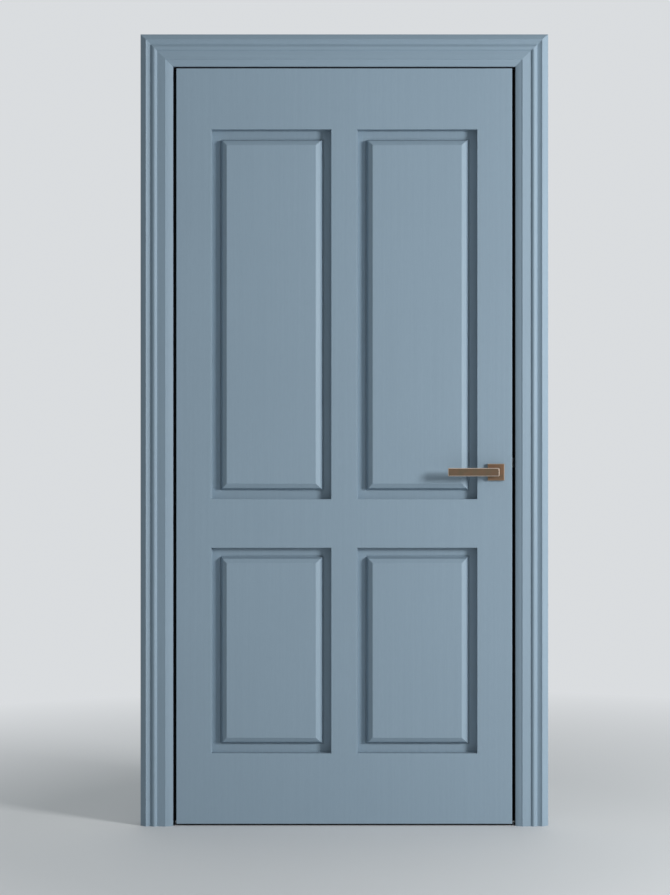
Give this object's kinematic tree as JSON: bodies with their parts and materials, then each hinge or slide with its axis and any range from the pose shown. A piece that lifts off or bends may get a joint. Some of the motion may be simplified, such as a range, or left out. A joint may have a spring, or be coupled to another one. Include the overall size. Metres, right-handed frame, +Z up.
{
  "type": "panelled front door with frame",
  "caption": "Four-panel painted timber door leaf with raised and fielded panels, lever latch set, butt hinges, rebated frame and mitred moulded casing.",
  "frame": {"origin": "floor level at the middle of the opening, at the middle of the leaf's thickness", "axes": "+X to the lock side as seen from the casing side, +Y away from the casing side, the way the leaf opens, +Z up"},
  "size_m": [1.102, 0.172, 2.139],
  "materials": {
    "painted_wood": "satin grey-blue paint with faint grain showing through",
    "seal_rubber": "matt black",
    "brushed_bronze": "brushed bronze",
    "satin_steel": "satin",
    "nylon": "matt"
  },
  "bodies": {
    "frame": {"jamb_hinge_side": "painted_wood", "jamb_lock_side": "painted_wood", "frame_head": "painted_wood", "casing_left": "painted_wood", "casing_right": "painted_wood", "casing_head": "painted_wood", "front_seal_left": "seal_rubber", "front_seal_right": "seal_rubber", "front_seal_head": "seal_rubber", "strike_plate": "satin_steel", "hinge_frame_half_1": "satin_steel", "hinge_frame_half_2": "satin_steel", "hinge_frame_half_3": "satin_steel", "hinge_pin_1": "satin_steel", "hinge_pin_2": "satin_steel", "hinge_pin_3": "satin_steel"},
    "leaf": {"stile_hinge_side": "painted_wood", "stile_lock_side": "painted_wood", "top_rail": "painted_wood", "lock_rail": "painted_wood", "bottom_rail": "painted_wood", "mullion_upper": "painted_wood", "mullion_lower": "painted_wood", "panel_upper_left": "painted_wood", "panel_upper_right": "painted_wood", "panel_lower_left": "painted_wood", "panel_lower_right": "painted_wood", "lip_seal_left": "seal_rubber", "lip_seal_right": "seal_rubber", "lip_seal_top": "seal_rubber", "bottom_seal": "seal_rubber", "rose_near": "brushed_bronze", "rose_far": "brushed_bronze", "faceplate": "satin_steel", "lock_case": "satin_steel", "lock_cover": "satin_steel", "latch_spring": "satin_steel", "hinge_leaf_half_1": "satin_steel", "hinge_leaf_half_2": "satin_steel", "hinge_leaf_half_3": "satin_steel", "rose_base_near": "nylon", "rose_base_far": "nylon"},
    "handle": {"lever_near": "brushed_bronze", "lever_far": "brushed_bronze", "spindle": "satin_steel", "follower": "satin_steel"},
    "latch": {"latch_bolt": "satin_steel"}
  },
  "joints": [
    {"name": "leaf_swing", "type": "hinge", "parent": "frame", "child": "leaf", "pos_m": [-0.4825, 0.041, 0], "axis": [0, 0, 1], "range_deg": [0, 100]},
    {"name": "lever_turn", "type": "hinge", "parent": "leaf", "child": "handle", "pos_m": [0.41, 0, 0.9555], "axis": [0, -1, 0], "range_deg": [0, 45], "stiffness_Nm_per_rad": 1.6, "springref_deg": -28.65},
    {"name": "latch_slide", "type": "slide", "parent": "leaf", "child": "latch", "axis": [-1, 0, 0], "range_m": [0, 0.018], "deforming": ["latch_spring"]}
  ],
  "couplings": [
    {"joint": "latch_slide", "follows": "lever_turn", "m_per_rad": 0.022918}
  ]
}
